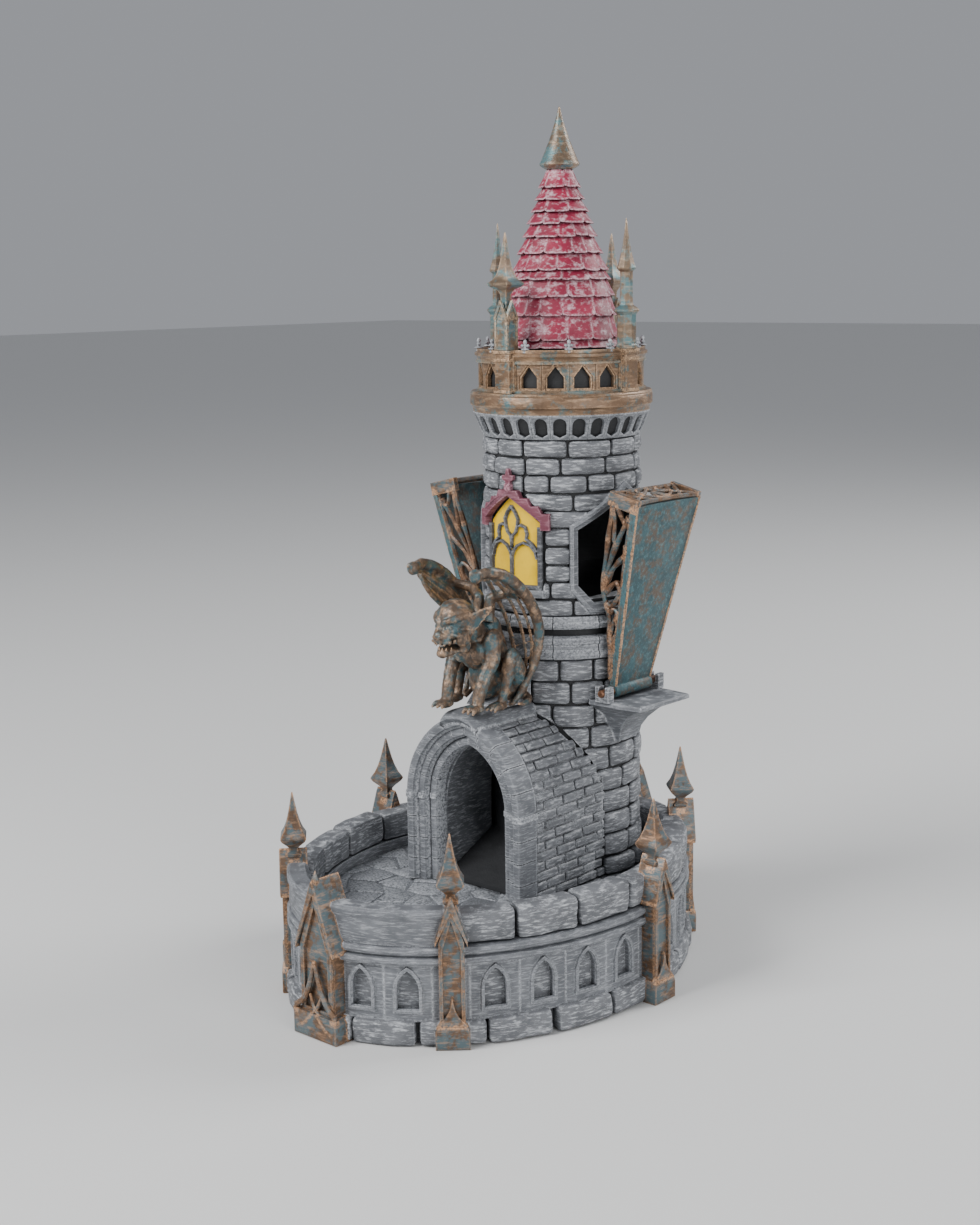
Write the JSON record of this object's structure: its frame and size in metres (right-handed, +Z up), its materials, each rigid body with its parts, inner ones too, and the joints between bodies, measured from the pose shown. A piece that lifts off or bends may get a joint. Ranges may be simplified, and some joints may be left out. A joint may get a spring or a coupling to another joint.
{
  "type": "dice tower",
  "caption": "Gothic masonry dice tower with lift-off tiled roof and upper shaft, hinged side hatches, vaulted doorway and walled oval dice tray.",
  "frame": {"origin": "centre of the oval plan on the underside, at the surface it stands on", "axes": "+Z up, front with the doorway towards -Y, +X to the right seen from behind the doorway's front"},
  "size_m": [0.1528, 0.196, 0.3336],
  "materials": {
    "brick_grey": "cast resin painted as small bricks",
    "dark_inside": "unpainted dark inside faces",
    "gargoyle_grey": "cast resin painted dark stone, dry-brushed",
    "hatch_teal": "cast resin sponged teal over dark blue",
    "hood_pink": "painted dull pink",
    "pane_yellow": "painted yellow pane",
    "paving_grey": "cast resin painted as flagstones",
    "pin_copper": "dull copper-coloured pin",
    "roof_crimson": "cast resin painted crimson tiles, silver dry-brush",
    "smooth_stone": "cast resin painted smooth blue-grey, dry-brushed",
    "stone_grey": "cast resin painted as grey masonry, white dry-brushed edges",
    "tracery_copper": "cast resin painted copper with verdigris",
    "tracery_grey": "painted light grey",
    "verdigris_copper": "cast resin painted copper with teal verdigris"
  },
  "bodies": {
    "base": {"arch_surround": "smooth_stone", "baffle_low": "dark_inside", "base_core": "stone_grey", "base_moulding": "stone_grey", "buttress_back": "verdigris_copper", "buttress_front": "verdigris_copper", "buttress_front_left": "verdigris_copper", "buttress_front_right": "verdigris_copper", "buttress_rear_left": "verdigris_copper", "buttress_rear_right": "verdigris_copper", "buttress_side_left": "verdigris_copper", "buttress_side_right": "verdigris_copper", "exit_ramp": "dark_inside", "floor_paving": "paving_grey", "front_panel_left": "smooth_stone", "front_panel_right": "smooth_stone", "gargoyle_body": "gargoyle_grey", "gargoyle_saddle": "gargoyle_grey", "gargoyle_wings": "gargoyle_grey", "hinge_lugs_left": "pin_copper", "hinge_lugs_right": "pin_copper", "ledge_left": "stone_grey", "ledge_right": "stone_grey", "lower_belt": "stone_grey", "lower_tower": "stone_grey", "neck_ring": "dark_inside", "parapet_stones": "stone_grey", "plinth_stones": "stone_grey", "portico_vault": "brick_grey"},
    "upper_tower": {"baffle_high": "dark_inside", "baffle_middle": "dark_inside", "balcony_ring": "verdigris_copper", "corbel_arcade": "stone_grey", "gallery_deck": "verdigris_copper", "gallery_drum": "verdigris_copper", "opening_frames": "verdigris_copper", "pinnacle_back": "verdigris_copper", "pinnacle_front": "verdigris_copper", "pinnacle_left": "verdigris_copper", "pinnacle_right": "verdigris_copper", "upper_belt": "stone_grey", "upper_shell": "stone_grey", "window_hood": "hood_pink", "window_pane": "pane_yellow", "window_sill": "tracery_grey", "window_tracery": "tracery_grey"},
    "roof": {"roof_tiles": "roof_crimson", "roof_collar": "dark_inside", "roof_finial": "verdigris_copper"},
    "hatch_left": {"hatch_wall_left": "hatch_teal", "hatch_tracery_left": "tracery_copper", "hatch_top_left": "tracery_copper", "hinge_pin_left": "pin_copper"},
    "hatch_right": {"hatch_wall_right": "hatch_teal", "hatch_tracery_right": "tracery_copper", "hatch_top_right": "tracery_copper", "hinge_pin_right": "pin_copper"}
  },
  "joints": [
    {"name": "upper_tower_lift", "type": "slide", "parent": "base", "child": "upper_tower", "axis": [0, 0, 1], "range_m": [0, 0.08]},
    {"name": "roof_lift", "type": "slide", "parent": "upper_tower", "child": "roof", "axis": [0, 0, 1], "range_m": [0, 0.06]},
    {"name": "hatch_left_swing", "type": "hinge", "parent": "base", "child": "hatch_left", "pos_m": [-0.0342, 0.044, 0.11], "axis": [0, -1, 0], "range_deg": [-5, 0]},
    {"name": "hatch_right_swing", "type": "hinge", "parent": "base", "child": "hatch_right", "pos_m": [0.0342, 0.044, 0.11], "axis": [0, 1, 0], "range_deg": [-5, 0]}
  ]
}
